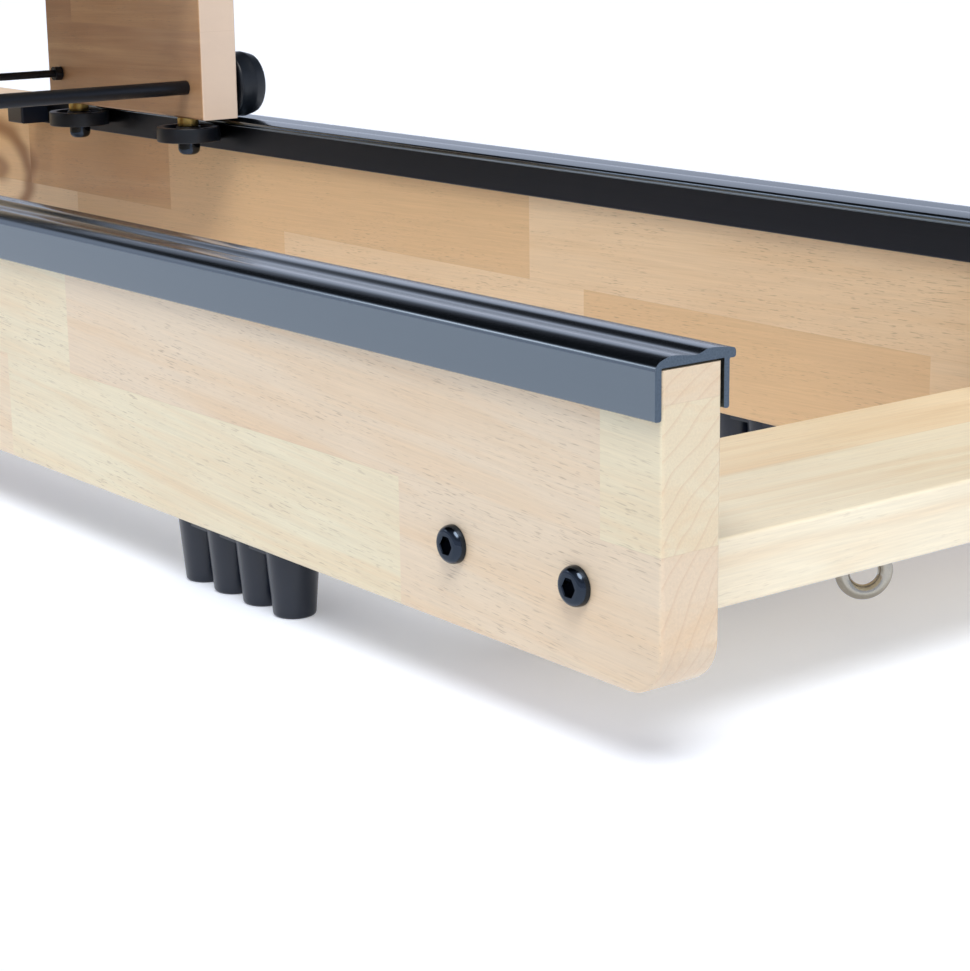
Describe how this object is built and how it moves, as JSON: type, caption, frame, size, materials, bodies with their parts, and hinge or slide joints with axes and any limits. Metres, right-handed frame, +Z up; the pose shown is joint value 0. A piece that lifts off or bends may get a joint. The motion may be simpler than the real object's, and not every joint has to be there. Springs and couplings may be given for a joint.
{
  "type": "water rowing machine",
  "caption": "Wooden rowing machine with a wheeled seat on capped rails, sloping footboard, strap-pulled handle and a clear paddle tank under a deck.",
  "frame": {"origin": "on the floor, midway along the rails and midway between them", "axes": "+X to the rower's right, +Y along the rails from the seat's end to the tank's end, +Z up"},
  "size_m": [0.476, 2.1, 0.5609],
  "materials": {
    "rail_wood": "satin lacquered pale hardwood, finger-jointed strips",
    "board_wood": "satin lacquered pale hardwood board",
    "anodised_cap": "satin black anodised extrusion",
    "black_metal": "gloss black",
    "bright_steel": "satin",
    "axle_steel": "black oxide",
    "zinc_steel": "yellow zinc",
    "black_rubber": "matte",
    "grip_foam": "matte foam",
    "clear_plastic": "clear polycarbonate",
    "dark_plastic": "fine matte",
    "bearing_plastic": "smooth acetal",
    "wheel_plastic": "satin polyurethane",
    "black_webbing": "woven",
    "black_vinyl": "soft grained",
    "display": "glossy",
    "button_rubber": "matte"
  },
  "bodies": {
    "frame": {"left_rail": "rail_wood", "right_rail": "rail_wood", "left_rail_cap": "anodised_cap", "right_rail_cap": "anodised_cap", "rear_cross_board": "board_wood", "middle_cross_board": "board_wood", "tank_base_board": "board_wood", "left_rear_post": "board_wood", "right_rear_post": "board_wood", "left_front_post": "board_wood", "right_front_post": "board_wood", "top_deck": "board_wood", "footboard": "board_wood", "heel_cup_pins": "dark_plastic", "foot_straps": "black_webbing", "frame_bolts": "black_metal", "eye_bolt": "bright_steel", "rubber_feet": "black_rubber", "handle_cradles": "dark_plastic", "tank_lower_bowl": "clear_plastic", "tank_upper_bowl": "clear_plastic", "tank_seal": "black_rubber", "tank_screws": "black_metal", "shaft_bearings": "bearing_plastic", "recoil_can": "black_metal", "recoil_spring": "bright_steel", "strap_bracket": "black_metal", "seat_stops": "black_rubber", "monitor_arm": "black_metal"},
    "carriage": {"left_carriage_board": "board_wood", "right_carriage_board": "board_wood", "seat_board": "board_wood", "seat_cushion": "black_vinyl", "rear_axle": "axle_steel", "front_axle": "axle_steel", "guide_roller_bolts": "zinc_steel"},
    "rear_wheel_pair": {"rear_seat_wheels": "wheel_plastic"},
    "front_wheel_pair": {"front_seat_wheels": "wheel_plastic"},
    "guide_left_rear": {"left_rear_guide_roller": "wheel_plastic"},
    "guide_left_front": {"left_front_guide_roller": "wheel_plastic"},
    "guide_right_rear": {"right_rear_guide_roller": "wheel_plastic"},
    "guide_right_front": {"right_front_guide_roller": "wheel_plastic"},
    "rotor": {"paddle_shaft": "bright_steel", "paddle": "dark_plastic"},
    "drum": {"strap_drum": "dark_plastic", "one_way_clutch": "dark_plastic", "strap_winding": "black_webbing"},
    "roller": {"strap_roller": "dark_plastic"},
    "handle": {"handle_bar": "bright_steel", "handle_grips": "grip_foam", "strap_clip": "dark_plastic", "pull_strap": "black_webbing"},
    "heel_left": {"left_heel_cup": "dark_plastic"},
    "heel_right": {"right_heel_cup": "dark_plastic"},
    "monitor": {"monitor_case": "dark_plastic", "monitor_screen": "display"},
    "button_mode": {"mode_button": "button_rubber"},
    "button_reset": {"reset_button": "button_rubber"},
    "plug": {"fill_plug": "dark_plastic"},
    "transport": {"transport_wheels": "wheel_plastic"}
  },
  "joints": [
    {"name": "seat_slide", "type": "slide", "parent": "frame", "child": "carriage", "axis": [0, 1, 0], "range_m": [-0.686, 0.068]},
    {"name": "rear_wheels_spin", "type": "hinge", "parent": "carriage", "child": "rear_wheel_pair", "pos_m": [0, -0.23, 0.17745], "axis": [1, 0, 0], "continuous": true},
    {"name": "front_wheels_spin", "type": "hinge", "parent": "carriage", "child": "front_wheel_pair", "pos_m": [0, -0.054, 0.17745], "axis": [1, 0, 0], "continuous": true},
    {"name": "left_rear_guide_spin", "type": "hinge", "parent": "carriage", "child": "guide_left_rear", "pos_m": [-0.1297, -0.219, 0.14545], "axis": [0, 0, 1], "continuous": true},
    {"name": "left_front_guide_spin", "type": "hinge", "parent": "carriage", "child": "guide_left_front", "pos_m": [-0.1297, -0.065, 0.14545], "axis": [0, 0, 1], "continuous": true},
    {"name": "right_rear_guide_spin", "type": "hinge", "parent": "carriage", "child": "guide_right_rear", "pos_m": [0.1297, -0.219, 0.14545], "axis": [0, 0, 1], "continuous": true},
    {"name": "right_front_guide_spin", "type": "hinge", "parent": "carriage", "child": "guide_right_front", "pos_m": [0.1297, -0.065, 0.14545], "axis": [0, 0, 1], "continuous": true},
    {"name": "paddle_spin", "type": "hinge", "parent": "frame", "child": "rotor", "pos_m": [0, 0.726, 0.1953], "axis": [0, 0, 1], "continuous": true},
    {"name": "handle_pull", "type": "slide", "parent": "frame", "child": "handle", "axis": [0, -1, 0], "range_m": [0, 1.1], "stiffness_N_per_m": 12, "springref_m": -1.5, "deforming": ["pull_strap"]},
    {"name": "drum_spin", "type": "hinge", "parent": "frame", "child": "drum", "pos_m": [0, 0.726, 0.3929], "axis": [0, 0, 1], "continuous": true},
    {"name": "strap_roller_spin", "type": "hinge", "parent": "frame", "child": "roller", "pos_m": [0.0121, 0.442, 0.3929], "axis": [0, 0, 1], "continuous": true},
    {"name": "left_heel_slide", "type": "slide", "parent": "frame", "child": "heel_left", "axis": [0, 0.6691, 0.7431], "range_m": [-0.03, 0.03]},
    {"name": "right_heel_slide", "type": "slide", "parent": "frame", "child": "heel_right", "axis": [0, 0.6691, 0.7431], "range_m": [-0.03, 0.03]},
    {"name": "monitor_tilt", "type": "hinge", "parent": "frame", "child": "monitor", "pos_m": [0, 0.428, 0.4883], "axis": [1, 0, 0], "range_deg": [-25, 25]},
    {"name": "mode_button_press", "type": "slide", "parent": "monitor", "child": "button_mode", "axis": [0, 0.9397, -0.342], "range_m": [0, 0.001], "stiffness_N_per_m": 400, "springref_m": -0.0005},
    {"name": "reset_button_press", "type": "slide", "parent": "monitor", "child": "button_reset", "axis": [0, 0.9397, -0.342], "range_m": [0, 0.001], "stiffness_N_per_m": 400, "springref_m": -0.0005},
    {"name": "fill_plug_lift", "type": "slide", "parent": "frame", "child": "plug", "axis": [0, 0, 1], "range_m": [0, 0.02]},
    {"name": "transport_wheels_spin", "type": "hinge", "parent": "frame", "child": "transport", "pos_m": [0, 1.01, 0.0523], "axis": [1, 0, 0], "continuous": true}
  ],
  "couplings": [
    {"joint": "rear_wheels_spin", "follows": "seat_slide", "rad_per_m": -46.296},
    {"joint": "front_wheels_spin", "follows": "seat_slide", "rad_per_m": -46.296},
    {"joint": "left_rear_guide_spin", "follows": "seat_slide", "rad_per_m": 46.296},
    {"joint": "left_front_guide_spin", "follows": "seat_slide", "rad_per_m": 46.296},
    {"joint": "right_rear_guide_spin", "follows": "seat_slide", "rad_per_m": -46.296},
    {"joint": "right_front_guide_spin", "follows": "seat_slide", "rad_per_m": -46.296},
    {"joint": "drum_spin", "follows": "handle_pull", "rad_per_m": -25.317},
    {"joint": "strap_roller_spin", "follows": "handle_pull", "rad_per_m": 82.645}
  ]
}
